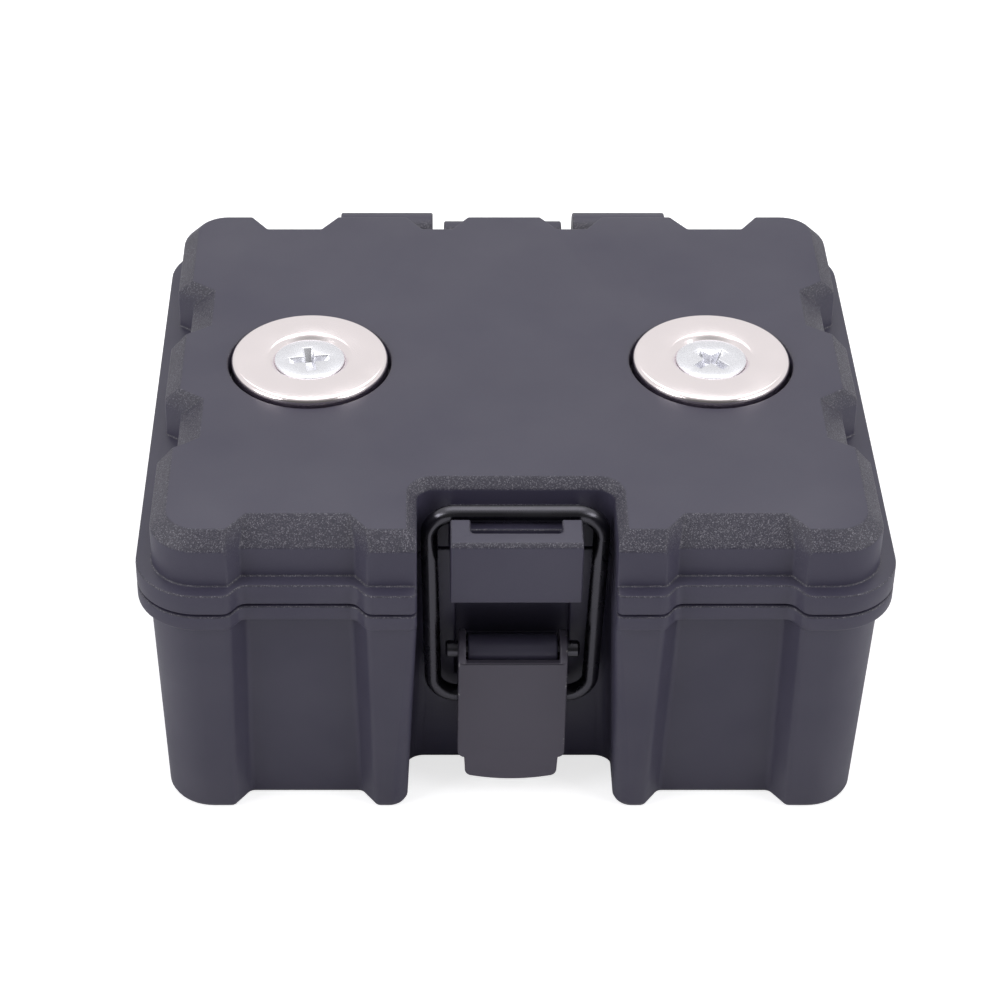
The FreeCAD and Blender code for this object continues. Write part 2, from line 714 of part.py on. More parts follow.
# Latch lever: a folded sheet channel with a bowed tab at its lower end
face, sheet, tip, bend = value("lever_face"), value("lever_sheet"), value("lever_tip"), value("lever_bend")
cheek_top = value("pivot_height + cheek_round")
lever_side = profile_yz("lever_side", [
    (face, cheek_top, value("cheek_round")),
    (face, bend, value("bend_round")),
    (face - value("lever_flare"), tip - value("tab_bow"), 0.0),
    (face - value("lever_flare") + sheet, tip - value("tab_bow"), 0.0),
    (face + sheet, bend, value("bend_round") / 4),
    (value("bail_foot_y + foot_round"), value("bail_foot_height - foot_round"), value("foot_round")),
    (value("pivot_y + cheek_round"), cheek_top, value("cheek_round")),
], -value("lever_width"), 2 * value("lever_width"))
lever_half, tab_half, bow = value("lever_width / 2"), value("tab_width / 2"), value("tab_bow")
front_wire = rounded_wire([
    (lever_half, cheek_top + sheet, 0.0),
    (-lever_half, cheek_top + sheet, 0.0),
    (-lever_half, value("shoulder_height"), value("shoulder_round")),
    (-tab_half, value("shoulder_height"), 0.3),
    (-tab_half, tip + bow, value("shoulder_round")),
    (0.0, tip - bow, tab_half * tab_half / (2 * bow) * 0.8),
    (tab_half, tip + bow, value("shoulder_round")),
    (tab_half, value("shoulder_height"), 0.3),
    (lever_half, value("shoulder_height"), value("shoulder_round")),
])
front_wire.Placement = FreeCAD.Placement(V(0, face - lever_half, 0), TO_XZ)
lever_front = solid("lever_front", Part.Face(front_wire).extrude(V(0, 4 * lever_half, 0)))
lever_blank = doc.addObject("Part::Common", "lever_blank")
lever_blank.Base, lever_blank.Tool = lever_side, lever_front
latch_lever = cut("latch_lever", lever_blank, [
    box("channel", "-cheek_inner", "lever_face + lever_sheet", "lever_tip", "2 * cheek_inner",
        "lever_width", "lever_width * 2"),
    box("web_top", "-cheek_inner", "lever_face - lever_sheet", "lever_top", "2 * cheek_inner",
        "lever_width", "lever_width"),
    rod("pivot_hole", "-lever_width", "2 * lever_width", "pivot_y", "pivot_height",
        "lever_pin_diameter / 2 + pin_play"),
    rod("foot_hole", "-lever_width", "2 * lever_width", "bail_foot_y", "bail_foot_height",
        "wire / 2 + pin_play"),
])

# Wire bail: one bent wire whose two ends meet inside the lever
rise, lean = value("bail_top_z - bail_foot_height"), value("bail_top_y - bail_foot_y")
foot_half, top_half = value("bail_foot_width / 2"), value("bail_top_width / 2")
gap_half = value("bail_end_gap / 2")
bail_length, corner = math.hypot(rise, lean), value("bail_corner")
loop = rounded_wire([
    (gap_half, 0.0, 0.0), (foot_half, 0.0, corner), (top_half, bail_length, corner),
    (-top_half, bail_length, corner), (-foot_half, 0.0, corner), (-gap_half, 0.0, 0.0),
])
path = Part.Wire(loop.Edges[:-1])
path.Placement = FreeCAD.Placement(V(0, value("bail_foot_y"), value("bail_foot_height")),
                                   FreeCAD.Rotation(V(1, 0, 0), math.degrees(math.atan2(rise, lean))))
start = path.Edges[0].valueAt(path.Edges[0].FirstParameter)
wire_section = Part.Wire(Part.makeCircle(value("wire / 2"), start, V(1, 0, 0)))
solid("latch_bail", path.makePipeShell([wire_section], True, False))

# Name the pieces, check them and write them out
PIECES = [
    "base_shell", "hinge_pin", "lever_pin", "lid_shell", "lid_seal", "magnet_left", "magnet_right",
    "magnet_screw_left", "magnet_screw_right", "screw_seal_left", "screw_seal_right",
    "magnet_washer_left", "magnet_washer_right", "magnet_nut_left", "magnet_nut_right",
    "latch_lever", "latch_bail",
]
doc.recompute()
for thing in doc.Objects:
    troubles = [state for state in thing.State if state in ("Invalid", "Error")]
    if troubles:
        raise RuntimeError("%s is %s" % (thing.Name, troubles))

os.makedirs("parts", exist_ok=True)
for name in PIECES:
    piece = doc.getObject(name)
    piece.Label = name
    if piece.Shape.isNull() or not piece.Shape.isValid() or len(piece.Shape.Solids) != 1:
        raise RuntimeError("%s has no single valid solid" % name)
    piece.Shape.exportStep(os.path.join("parts", name + ".step"))
    bounds = piece.Shape.BoundBox
    print("%-20s %9.1f mm3  x %.2f %.2f  y %.2f %.2f  z %.2f %.2f" % (
        name, piece.Shape.Volume, bounds.XMin, bounds.XMax, bounds.YMin, bounds.YMax,
        bounds.ZMin, bounds.ZMax))
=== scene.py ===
# Magnetic key holder box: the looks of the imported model, its finishes, and the studio round it.
import math

import bpy
from bpy.props import FloatProperty, FloatVectorProperty, IntProperty, PointerProperty, StringProperty
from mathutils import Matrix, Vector


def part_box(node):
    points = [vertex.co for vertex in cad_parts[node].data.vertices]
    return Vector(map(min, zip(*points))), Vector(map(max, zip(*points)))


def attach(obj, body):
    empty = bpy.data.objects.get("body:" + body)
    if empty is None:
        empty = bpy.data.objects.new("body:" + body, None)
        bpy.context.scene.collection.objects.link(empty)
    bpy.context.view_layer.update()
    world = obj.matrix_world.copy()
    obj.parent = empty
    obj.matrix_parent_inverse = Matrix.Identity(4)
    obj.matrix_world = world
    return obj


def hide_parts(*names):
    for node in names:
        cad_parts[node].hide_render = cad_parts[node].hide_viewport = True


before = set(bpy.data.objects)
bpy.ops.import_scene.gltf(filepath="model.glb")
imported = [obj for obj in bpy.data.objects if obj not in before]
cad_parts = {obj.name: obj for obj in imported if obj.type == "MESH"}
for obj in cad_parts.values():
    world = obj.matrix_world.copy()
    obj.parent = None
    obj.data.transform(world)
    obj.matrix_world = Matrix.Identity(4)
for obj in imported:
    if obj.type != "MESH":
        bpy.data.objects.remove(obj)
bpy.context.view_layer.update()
MM = 0.001

# How near two points of a solid's loose triangles, or of a made piece, have to be to become one
SOLID_MERGE = 0.002 * MM
MADE_MERGE = 0.001 * MM
# Faces that meet below the first angle are one plane, and edges above the second get rounded;
# below the third, the shading runs on smoothly
FLAT_ANGLE = math.radians(0.1)
SHARP_ANGLE = math.radians(28)
SMOOTH_ANGLE = math.radians(35)
ROUNDING_STEPS = 3
RING_SIDES = 128
FLOOR_SIZE = 6.0
SENSOR_WIDTH = 36.0
# Noise has nearly all its values between these two
NOISE_RANGE = {"From Min": 0.3, "From Max": 0.7}

bl_info = {
    "name": "Magnetic Key Holder Box",
    "version": (1, 0, 0),
    "blender": (4, 5, 0),
    "location": "View3D > Sidebar > Key Box",
    "description": "Finishes the key holder box piece by piece and sets it in a studio",
    "category": "Object",
}


class ShellSettings(bpy.types.PropertyGroup):
    """The two moulded shells and their rubber ring."""
    edge_radius: FloatProperty(
        name="Edge radius", description="Rounding left on the mould's edges", default=0.22 * MM,
        min=0.0, unit="LENGTH")
    plastic_colour: StringProperty(
        name="Plastic colour", description="Hex colour of the plastic", default="#3b384b")
    # Painted highlight on a few grains of the slopes; this colour also lightens rubbed patches a little
    glint_colour: StringProperty(
        name="Glint colour", description="Hex colour of the polished grains", default="#a9a6b0")
    # Painted shade between the grains on the slopes
    painted_pit_shade_colour: StringProperty(
        name="Pit colour", description="Hex colour of the shade between the grains", default="#19181b")
    grain_size: FloatProperty(
        name="Grain size", description="Pitch of the spark-eroded grain", default=0.11 * MM,
        min=0.01 * MM, unit="LENGTH")
    rubber_colour: StringProperty(
        name="Rubber colour", description="Hex colour of the rubber rings", default="#1b1b1d")


class MagnetSettings(bpy.types.PropertyGroup):
    """The magnets with their screws, washers and nuts."""
    nickel_colour: StringProperty(
        name="Nickel colour", description="Hex colour of the nickel plate", default="#f6edee")
    rim_radius: FloatProperty(
        name="Rim radius", description="Rounding of the magnets' outer edges", default=0.6 * MM,
        min=0.0, unit="LENGTH")
    hole_radius: FloatProperty(
        name="Hole radius", description="Radius of the magnets' screw hole", default=2.3 * MM,
        unit="LENGTH")
    sink_radius: FloatProperty(
        name="Countersink radius", description="Radius of the countersink at the top",
        default=4.95 * MM, unit="LENGTH")
    sink_lip: FloatProperty(
        name="Countersink lip", description="Rounding of the countersink's mouth", default=0.3 * MM,
        unit="LENGTH")
    screw_colour: StringProperty(
        name="Screw colour", description="Hex colour of the screws' zinc", default="#ebebf0")
    screw_edge: FloatProperty(
        name="Screw edge", description="Rounding of the screws' edges", default=0.1 * MM,
        unit="LENGTH")
    zinc_dark: StringProperty(
        name="Dark zinc", description="Hex colour of the zinc film where it is thick",
        default="#a4a6aa")
    zinc_light: StringProperty(
        name="Light zinc", description="Hex colour of the zinc film where it is thin",
        default="#c6c7c9")


class LatchSettings(bpy.types.PropertyGroup):
    """The folded lever and the bent wire."""
    lever_colour: StringProperty(
        name="Lever colour", description="Hex colour of the lever's coat", default="#4f4b57")
    bare_colour: StringProperty(
        name="Bare steel colour", description="Hex colour where the lever's coat has chipped",
        default="#c9c7c6")
    lever_edge: FloatProperty(
        name="Lever edge", description="Rounding of the lever's sheet edges", default=0.16 * MM,
        min=0.0, unit="LENGTH")
    wire_colour: StringProperty(
        name="Wire colour", description="Hex colour of the blackened wire", default="#55545a")
    wire_radius: FloatProperty(
        name="Wire radius", description="Radius of the bail's wire", default=1.0 * MM,
        min=0.1 * MM, unit="LENGTH")
    wire_sides: IntProperty(
        name="Wire sides", description="Sides of the wire's section", default=28, min=8)
    bend_steps: IntProperty(
        name="Bend steps", description="Sections in each bend of the wire", default=14, min=4)
    bend_radius: FloatProperty(
        name="Bend radius", description="Radius of the wire's bends", default=3.0 * MM, unit="LENGTH")
    foot: FloatVectorProperty(
        name="Foot", description="Half width, depth and height of the wire's foot", size=3,
        subtype="TRANSLATION", unit="LENGTH", default=(9.35 * MM, -28.85 * MM, 13.4 * MM))
    crown: FloatVectorProperty(
        name="Crown", description="Half width, depth and height of the wire's upper bar", size=3,
        subtype="TRANSLATION", unit="LENGTH", default=(10.0 * MM, -30.5 * MM, 41.5 * MM))
    end_gap: FloatProperty(
        name="End gap", description="Gap between the wire's two ends", default=0.4 * MM,
        unit="LENGTH")


class StageSettings(bpy.types.PropertyGroup):
    """The studio."""
    paper_colour: StringProperty(
        name="Paper colour", description="Hex colour of the floor", default="#e4e4e6")
    paper_lift: FloatProperty(
        name="Paper lift", description="Light added to the floor where the camera sees it",
        default=0.7)
    camera_place: FloatVectorProperty(
        name="Camera place", description="Where the camera stands", size=3, subtype="TRANSLATION",
        unit="LENGTH", default=(-10.6 * MM, -292.7 * MM, 238.4 * MM))
    camera_tilt: FloatProperty(
        name="Camera tilt", description="How far the camera is turned up from straight down",
        default=math.radians(53.37), subtype="ANGLE")
    lens: FloatProperty(
        name="Lens", description="Focal length in mm on a 36 mm sensor", default=103.5)
    shift: FloatProperty(
        name="Shift", description="Sideways shift of the frame, in widths", default=0.077)
    top_power: FloatProperty(
        name="Top power", description="Power in watts of the soft box over the lid", default=0.9)
    side_power: FloatProperty(
        name="Side power", description="Power in watts of each soft box in front", default=1.55)
    air: FloatProperty(
        name="Air", description="Strength of the light from all round", default=0.36)


def colour(code):
    """The linear colour of an sRGB hex value."""
    parts = [int(code[place:place + 2], 16) / 255 for place in (1, 3, 5)]
    return tuple(part / 12.92 if part <= 0.04045 else ((part + 0.055) / 1.055) ** 2.4
                 for part in parts) + (1.0,)


def add_node(tree, kind, settings=None, links=None):
    """Add a node, set its own values and fill its inputs with values or other nodes' outputs."""
    node = tree.nodes.new(kind)
    for name, setting in (settings or {}).items():
        setattr(node, name, setting)
    for name, source in (links or {}).items():
        if isinstance(source, bpy.types.NodeSocket):
            tree.links.new(source, node.inputs[name])
        else:
            node.inputs[name].default_value = source
    return node


def new_material(name):
    """An empty node material, with its tree and its output node."""
    material = bpy.data.materials.new(name)
    material.use_nodes = True
    material.node_tree.nodes.clear()
    return material, material.node_tree, add_node(material.node_tree, "ShaderNodeOutputMaterial")


def moulded_abs(settings):
    """Black ABS from a spark-eroded mould: satin on the planes, with a painted highlight on a few grains
    and painted shade between them on each slope, and a lighter sheen where hands rub it."""
    material, tree, output = new_material("moulded_abs")
    where = add_node(tree, "ShaderNodeTexCoord")
    place = where.outputs["Object"]
    slope = add_node(tree, "ShaderNodeSeparateXYZ", None, {"Vector": where.outputs["Normal"]})
    # Grained faces lean by 10 to 80 degrees: the share fades out towards upright and level faces, and it
    # also places the painted highlight and painted shade on the slopes
    rising = add_node(tree, "ShaderNodeMapRange", None, {
        "Value": slope.outputs["Z"], "From Min": 0.15, "From Max": 0.5, "To Min": 0.03})
    falling = add_node(tree, "ShaderNodeMapRange", None, {
        "Value": slope.outputs["Z"], "From Min": 0.9, "From Max": 0.985, "To Min": 1.0, "To Max": 0.03})
    slope_share = add_node(tree, "ShaderNodeMath", {"operation": "MULTIPLY"}, {
        0: rising.outputs["Result"], 1: falling.outputs["Result"]})
    height = add_node(tree, "ShaderNodeSeparateXYZ", None, {"Vector": place})
    # The grain ends under the rim, above the latch's polished slides
    above = add_node(tree, "ShaderNodeMapRange", None, {
        "Value": height.outputs["Z"], "From Min": 26.0 * MM, "From Max": 28.0 * MM})
    grained = add_node(tree, "ShaderNodeMath", {"operation": "MULTIPLY"}, {
        0: slope_share.outputs["Value"], 1: above.outputs["Result"]})

    grains = add_node(tree, "ShaderNodeTexVoronoi", None, {
        "Vector": place, "Scale": 1.0 / settings.grain_size})
    # Each grain draws a lot, and the power leaves only a few of them bright with a painted highlight
    lot = add_node(tree, "ShaderNodeSeparateColor", None, {"Color": grains.outputs["Color"]})
    few = add_node(tree, "ShaderNodeMath", {"operation": "POWER"}, {0: lot.outputs["Red"], 1: 5.0})
    # The painted highlight: how much glint colour each of those few grains is painted with
    polished = add_node(tree, "ShaderNodeMapRange", None, {"Value": few.outputs["Value"], "To Max": 0.4})
    glint = add_node(tree, "ShaderNodeMath", {"operation": "MULTIPLY"}, {
        0: polished.outputs["Result"], 1: grained.outputs["Value"]})

    # Rubbed patches are some 14 mm across
    rubbed = add_node(tree, "ShaderNodeTexNoise", None, {
        "Vector": place, "Scale": 1.0 / (14.0 * MM), "Detail": 3.0})
    shade = add_node(tree, "ShaderNodeMapRange", None, {
        "Value": rubbed.outputs["Fac"], **NOISE_RANGE, "To Max": 0.03})
    body = add_node(tree, "ShaderNodeMix", {"data_type": "RGBA"}, {
        "Factor": shade.outputs["Result"], "A": colour(settings.plastic_colour),
        "B": colour(settings.glint_colour)})
    # Painted shade: the rough ground between the grains holds shade, painted darker on the slopes
    pits = add_node(tree, "ShaderNodeMapRange", None, {
        "Value": grained.outputs["Value"], "To Max": 0.4})
    # The painted shade darkens the plastic on the slopes
    pitted = add_node(tree, "ShaderNodeMix", {"data_type": "RGBA"}, {
        "Factor": pits.outputs["Result"], "A": body.outputs["Result"],
        "B": colour(settings.painted_pit_shade_colour)})
    # The painted highlight lies over the painted shade in the base colour
    tint = add_node(tree, "ShaderNodeMix", {"data_type": "RGBA"}, {
        "Factor": glint.outputs["Value"], "A": pitted.outputs["Result"],
        "B": colour(settings.glint_colour)})
    satin = add_node(tree, "ShaderNodeMapRange", None, {
        "Value": rubbed.outputs["Fac"], **NOISE_RANGE, "To Min": 0.47, "To Max": 0.38})

    # The relief is a little finer than the grains
    fine = add_node(tree, "ShaderNodeTexNoise", None, {
        "Vector": place, "Scale": 1.4 / settings.grain_size, "Detail": 2.0})
    roughness = add_node(tree, "ShaderNodeMapRange", None, {
        "Value": grained.outputs["Value"], "To Min": 0.12, "To Max": 0.9})
    relief = add_node(tree, "ShaderNodeBump", None, {
        "Strength": roughness.outputs["Result"], "Distance": 0.06 * MM, "Height": fine.outputs["Fac"]})
    surface = add_node(tree, "ShaderNodeBsdfPrincipled", None, {
        "Base Color": tint.outputs["Result"], "Roughness": satin.outputs["Result"], "IOR": 1.53,
        "Normal": relief.outputs["Normal"]})
    tree.links.new(surface.outputs["BSDF"], output.inputs["Surface"])
    return material


def nickel_plate(settings):
    """Bright nickel plate on a ground ring: mirror-like and warm, pitted a little on its edges."""
    material, tree, output = new_material("nickel_plate")
    place = add_node(tree, "ShaderNodeTexCoord").outputs["Object"]
    # Pits of the ground surface under the plate are 0.25 mm across
    pits = add_node(tree, "ShaderNodeTexNoise", None, {
        "Vector": place, "Scale": 1.0 / (0.25 * MM), "Detail": 3.0, "Roughness": 0.7})
    # Handling leaves clouds of haze 4 mm across
    cloud = add_node(tree, "ShaderNodeTexNoise", None, {
        "Vector": place, "Scale": 1.0 / (4.0 * MM), "Detail": 2.0})
    haze = add_node(tree, "ShaderNodeMapRange", None, {
        "Value": cloud.outputs["Fac"], **NOISE_RANGE, "To Min": 0.13, "To Max": 0.22})
    relief = add_node(tree, "ShaderNodeBump", None, {
        "Strength": 0.16, "Distance": 0.05 * MM, "Height": pits.outputs["Fac"]})
    surface = add_node(tree, "ShaderNodeBsdfPrincipled", None, {
        "Base Color": colour(settings.nickel_colour), "Metallic": 1.0,
        "Roughness": haze.outputs["Result"], "Normal": relief.outputs["Normal"]})
    tree.links.new(surface.outputs["BSDF"], output.inputs["Surface"])
    return material


def zinc_screw_plate(settings):
    """Blue-white zinc on the drawn screws: a cooler, softer shine than the nickel round it."""
    material, tree, output = new_material("zinc_screw_plate")
    place = add_node(tree, "ShaderNodeTexCoord").outputs["Object"]
    # The header's marks are 0.2 mm across
    marks = add_node(tree, "ShaderNodeTexNoise", None, {
        "Vector": place, "Scale": 1.0 / (0.2 * MM), "Detail": 2.0})
    haze = add_node(tree, "ShaderNodeMapRange", None, {
        "Value": marks.outputs["Fac"], "To Min": 0.2, "To Max": 0.34})
    relief = add_node(tree, "ShaderNodeBump", None, {
        "Strength": 0.12, "Distance": 0.03 * MM, "Height": marks.outputs["Fac"]})
    surface = add_node(tree, "ShaderNodeBsdfPrincipled", None, {
        "Base Color": colour(settings.screw_colour), "Metallic": 1.0,
        "Roughness": haze.outputs["Result"], "Normal": relief.outputs["Normal"]})
    tree.links.new(surface.outputs["BSDF"], output.inputs["Surface"])
    return material


def black_e_coat(settings):
    """Dark e-coat over folded steel: satin, with a fine orange peel and bright metal where the
    sheet's edges have rubbed through."""
    material, tree, output = new_material("black_e_coat")
    place = add_node(tree, "ShaderNodeTexCoord").outputs["Object"]
    # The peel's dimples are 0.7 mm across
    peel = add_node(tree, "ShaderNodeTexNoise", None, {
        "Vector": place, "Scale": 1.0 / (0.7 * MM), "Detail": 2.0})
    relief = add_node(tree, "ShaderNodeBump", None, {
        "Strength": 0.22, "Distance": 0.03 * MM, "Height": peel.outputs["Fac"]})
    # The coat's gloss drifts over 5 mm
    cloud = add_node(tree, "ShaderNodeTexNoise", None, {
        "Vector": place, "Scale": 1.0 / (5.0 * MM), "Detail": 3.0})
    satin = add_node(tree, "ShaderNodeMapRange", None, {
        "Value": cloud.outputs["Fac"], **NOISE_RANGE, "To Min": 0.34, "To Max": 0.46})
    # Chips 0.9 mm across show steel on the outer skin of the cheeks, 6.45 mm from the middle
    sides = add_node(tree, "ShaderNodeSeparateXYZ", None, {"Vector": place})
    out = add_node(tree, "ShaderNodeMath", {"operation": "ABSOLUTE"}, {0: sides.outputs["X"]})
    edge = add_node(tree, "ShaderNodeMapRange", None, {
        "Value": out.outputs["Value"], "From Min": 6.2 * MM, "From Max": 6.42 * MM})
    chips = add_node(tree, "ShaderNodeTexNoise", None, {
        "Vector": place, "Scale": 1.0 / (0.9 * MM), "Detail": 4.0})
    loose = add_node(tree, "ShaderNodeMapRange", None, {
        "Value": chips.outputs["Fac"], "From Min": 0.6, "From Max": 0.66})
    bare = add_node(tree, "ShaderNodeMath", {"operation": "MULTIPLY"}, {
        0: edge.outputs["Result"], 1: loose.outputs["Result"]})
    tint = add_node(tree, "ShaderNodeMix", {"data_type": "RGBA"}, {
        "Factor": bare.outputs["Value"], "A": colour(settings.lever_colour),
        "B": colour(settings.bare_colour)})
    surface = add_node(tree, "ShaderNodeBsdfPrincipled", None, {
        "Base Color": tint.outputs["Result"], "Metallic": bare.outputs["Value"],
        "Roughness": satin.outputs["Result"], "Normal": relief.outputs["Normal"]})
    tree.links.new(surface.outputs["BSDF"], output.inputs["Surface"])
    return material


def blackened_wire(settings):
    """Oiled black-oxide spring wire: dark metal that shines in long streaks along the draw marks."""
    material, tree, output = new_material("blackened_wire")
    place = add_node(tree, "ShaderNodeTexCoord").outputs["Object"]
    # Draw marks run up the wire, 0.12 mm apart and some 6 mm long
    drawn = add_node(tree, "ShaderNodeMapping", None, {"Vector": place, "Scale": (1.0, 1.0, 0.02)})
    marks = add_node(tree, "ShaderNodeTexNoise", None, {
        "Vector": drawn.outputs["Vector"], "Scale": 1.0 / (0.12 * MM), "Detail": 1.0})
    relief = add_node(tree, "ShaderNodeBump", None, {
        "Strength": 0.12, "Distance": 0.02 * MM, "Height": marks.outputs["Fac"]})
    # The oil film lies in patches 3 mm across
    oil = add_node(tree, "ShaderNodeTexNoise", None, {
        "Vector": place, "Scale": 1.0 / (3.0 * MM), "Detail": 2.0})
    film = add_node(tree, "ShaderNodeMapRange", None, {
        "Value": oil.outputs["Fac"], **NOISE_RANGE, "To Min": 0.2, "To Max": 0.34})
    surface = add_node(tree, "ShaderNodeBsdfPrincipled", None, {
        "Base Color": colour(settings.wire_colour), "Metallic": 1.0,
        "Roughness": film.outputs["Result"], "Normal": relief.outputs["Normal"]})
    tree.links.new(surface.outputs["BSDF"], output.inputs["Surface"])
    return material


def nitrile_rubber(settings):
    """Moulded black nitrile rubber: matt, faintly mottled, with a soft sheen at the rim."""
    material, tree, output = new_material("nitrile_rubber")
    place = add_node(tree, "ShaderNodeTexCoord").outputs["Object"]
    # The mould leaves a mottle 0.3 mm across
    skin = add_node(tree, "ShaderNodeTexNoise", None, {
        "Vector": place, "Scale": 1.0 / (0.3 * MM), "Detail": 3.0})
    relief = add_node(tree, "ShaderNodeBump", None, {
        "Strength": 0.25, "Distance": 0.04 * MM, "Height": skin.outputs["Fac"]})
    matt = add_node(tree, "ShaderNodeMapRange", None, {
        "Value": skin.outputs["Fac"], "To Min": 0.62, "To Max": 0.85})
    surface = add_node(tree, "ShaderNodeBsdfPrincipled", None, {
        "Base Color": colour(settings.rubber_colour), "Roughness": matt.outputs["Result"],
        "Sheen Weight": 0.15, "Normal": relief.outputs["Normal"]})
    tree.links.new(surface.outputs["BSDF"], output.inputs["Surface"])
    return material


def zinc_plate(settings):
    """Bright zinc on pins, nuts and washers: cool grey metal with a cloudy passivated film."""
    material, tree, output = new_material("zinc_plate")
    place = add_node(tree, "ShaderNodeTexCoord").outputs["Object"]
    # The film's clouds are 1.2 mm across
    cloud = add_node(tree, "ShaderNodeTexNoise", None, {
        "Vector": place, "Scale": 1.0 / (1.2 * MM), "Detail": 3.0})
    film = add_node(tree, "ShaderNodeMix", {"data_type": "RGBA"}, {
        "Factor": cloud.outputs["Fac"], "A": colour(settings.zinc_dark),
        "B": colour(settings.zinc_light)})
    haze = add_node(tree, "ShaderNodeMapRange", None, {
        "Value": cloud.outputs["Fac"], "To Min": 0.24, "To Max": 0.42})
    surface = add_node(tree, "ShaderNodeBsdfPrincipled", None, {
        "Base Color": film.outputs["Result"], "Metallic": 1.0, "Roughness": haze.outputs["Result"]})
    tree.links.new(surface.outputs["BSDF"], output.inputs["Surface"])
    return material


def dress(thing, material):
    """Give a piece one material all over."""
    if not thing.data.materials:
        thing.data.materials.append(material)
    for index in range(len(thing.data.materials)):
        thing.data.materials[index] = material


def only(thing):
    """Select one object alone and make it the active one."""
    bpy.ops.object.select_all(action="DESELECT")
    thing.select_set(True)
    bpy.context.view_layer.objects.active = thing


def finish_piece(thing, body, material, replaced):
    """Put a made piece on its body in place of its plain solid."""
    dress(thing, material)
    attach(thing, body)
    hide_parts(replaced)


def softened(node, name, width, weld=0.0, collapse=0.0):
    """A copy of a solid, merged into whole faces, with its sharp edges rounded. Steps shorter than
    weld or collapse are closed first, and what a crowded corner throws off settles on the solid."""
    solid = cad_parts[node]
    piece = solid.copy()
    piece.data = piece.data.copy()
    piece.name = name
    piece.data.name = name
    piece.parent = None
    bpy.context.scene.collection.objects.link(piece)
    only(piece)
    bpy.ops.object.mode_set(mode="EDIT")
    bpy.ops.mesh.select_all(action="SELECT")
    bpy.ops.mesh.remove_doubles(threshold=SOLID_MERGE)
    bpy.ops.mesh.dissolve_limited(angle_limit=FLAT_ANGLE)
    if weld:
        bpy.ops.mesh.remove_doubles(threshold=weld)
    if collapse:
        bpy.ops.mesh.dissolve_degenerate(threshold=collapse)
    bpy.ops.mesh.vert_connect_concave()
    bpy.ops.object.mode_set(mode="OBJECT")
    bevel = piece.modifiers.new("soft_edges", "BEVEL")
    bevel.width = width
    bevel.segments = ROUNDING_STEPS
    bevel.limit_method = "ANGLE"
    bevel.angle_limit = SHARP_ANGLE
    bevel.use_clamp_overlap = False
    bevel.loop_slide = False
    bpy.ops.object.modifier_apply(modifier=bevel.name)
    # A sound rounding stays well inside half its width from the solid, and only strays go back
    for vertex in piece.data.vertices:
        near = solid.closest_point_on_mesh(vertex.co)[1]
        if (vertex.co - near).length > width / 2:
            vertex.co = near
    bpy.ops.object.shade_smooth_by_angle(angle=SMOOTH_ANGLE)
    return piece


def rounded(radius, height, size, start, steps=5):
    """Points (radius, height) of a quarter turn round a centre, anticlockwise from an angle."""
    turns = [math.radians(start + 90 * step / steps) for step in range(steps + 1)]
    return [(radius + size * math.cos(turn), height + size * math.sin(turn)) for turn in turns]


def turned_piece(name, x, y, rings, sides):
    """A closed ring about an upright axis, extruded from ring to ring: (radius, height)."""
    bpy.ops.object.select_all(action="DESELECT")
    radius, height = rings[0]
    bpy.ops.mesh.primitive_circle_add(vertices=sides, radius=radius, location=(x, y, height))
    piece = bpy.context.active_object
    piece.name = name
    bpy.ops.object.mode_set(mode="EDIT")
    bpy.ops.mesh.select_all(action="SELECT")
    for wide, level in rings[1:] + rings[:1]:
        bpy.ops.mesh.extrude_edges_move(TRANSFORM_OT_translate={"value": (0, 0, level - height)})
        bpy.ops.transform.resize(value=(wide / radius, wide / radius, 1), center_override=(x, y, level))
        radius, height = wide, level
    bpy.ops.mesh.select_all(action="SELECT")
    bpy.ops.mesh.remove_doubles(threshold=MADE_MERGE)
    bpy.ops.mesh.normals_make_consistent(inside=False)
    bpy.ops.object.mode_set(mode="OBJECT")
    bpy.ops.object.transform_apply(location=True, rotation=True, scale=True)
    bpy.ops.object.shade_smooth_by_angle(angle=SMOOTH_ANGLE)
    return piece


class KEYBOX_OT_finishes(bpy.types.Operator):
    """Make the finishes and put them on the solids that keep their shape"""
    bl_idname = "keybox.finishes"
    bl_label = "Finishes"

    def execute(self, context):
        scene = context.scene
        moulded_abs(scene.keybox_shell)
        nickel_plate(scene.keybox_magnets)
        zinc_screw_plate(scene.keybox_magnets)
        black_e_coat(scene.keybox_latch)
        wire = blackened_wire(scene.keybox_latch)
        rubber, zinc = nitrile_rubber(scene.keybox_shell), zinc_plate(scene.keybox_magnets)
        for node, material in (
                ("lid_seal", rubber), ("screw_seal_left", rubber), ("screw_seal_right", rubber),
                ("hinge_pin", zinc), ("lever_pin", wire), ("magnet_washer_left", zinc),
                ("magnet_washer_right", zinc), ("magnet_nut_left", zinc), ("magnet_nut_right", zinc)):
            dress(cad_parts[node], material)
        return {"FINISHED"}


class KEYBOX_OT_base(bpy.types.Operator):
    """Round the base's edges and give it its moulded finish"""
    bl_idname = "keybox.base"
    bl_label = "Base shell"

    def execute(self, context):
        settings = context.scene.keybox_shell
        piece = softened("base_shell", "base_moulding", settings.edge_radius, weld=0.1 * MM)
        finish_piece(piece, "base", bpy.data.materials["moulded_abs"], "base_shell")
        return {"FINISHED"}


class KEYBOX_OT_lid(bpy.types.Operator):
    """Round the lid's edges and give it its moulded finish"""
    bl_idname = "keybox.lid"
    bl_label = "Lid shell"

    def execute(self, context):
        settings = context.scene.keybox_shell
        piece = softened("lid_shell", "lid_moulding", settings.edge_radius)
        finish_piece(piece, "lid", bpy.data.materials["moulded_abs"], "lid_shell")
        return {"FINISHED"}


